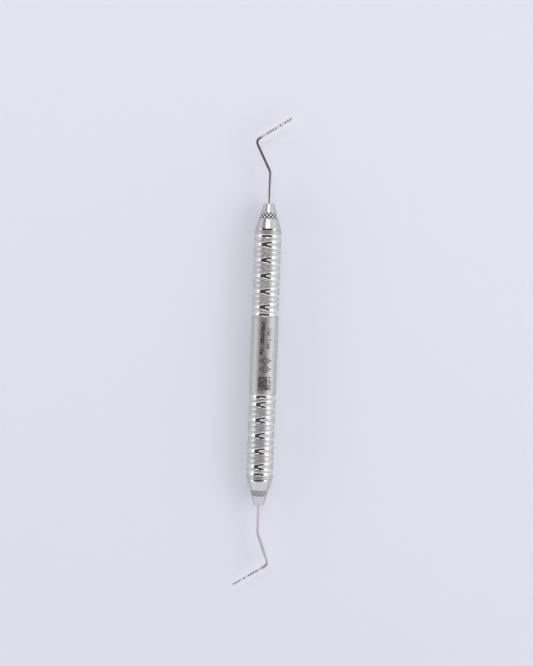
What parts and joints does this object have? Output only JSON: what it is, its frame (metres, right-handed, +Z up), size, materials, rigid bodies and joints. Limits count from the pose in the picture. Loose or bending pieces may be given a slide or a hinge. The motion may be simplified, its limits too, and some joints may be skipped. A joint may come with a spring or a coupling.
{
  "type": "periodontal probe",
  "caption": "Double-ended steel probe: round hollow handle with two patterned grips, tapered nose cones, one flat and one round bent graduated tip.",
  "frame": {"origin": "on the handle's axis, half way along the handle", "axes": "+X along the handle towards the flat tip, +Z up with the probe lying on its side, both tips bent in the XY plane"},
  "size_m": [0.1668, 0.0159, 0.0094],
  "materials": {
    "handle_satin_steel": "satin stainless steel with polished grooves",
    "cone_steel": "fine-turned stainless steel",
    "tip_steel": "fine satin hardened stainless steel with dark graduation grooves"
  },
  "bodies": {
    "probe": {"handle_tube": "handle_satin_steel", "flat_tip_nose_cone": "cone_steel", "round_tip_nose_cone": "cone_steel", "flat_probe_tip": "tip_steel", "round_probe_tip": "tip_steel"}
  },
  "joints": []
}
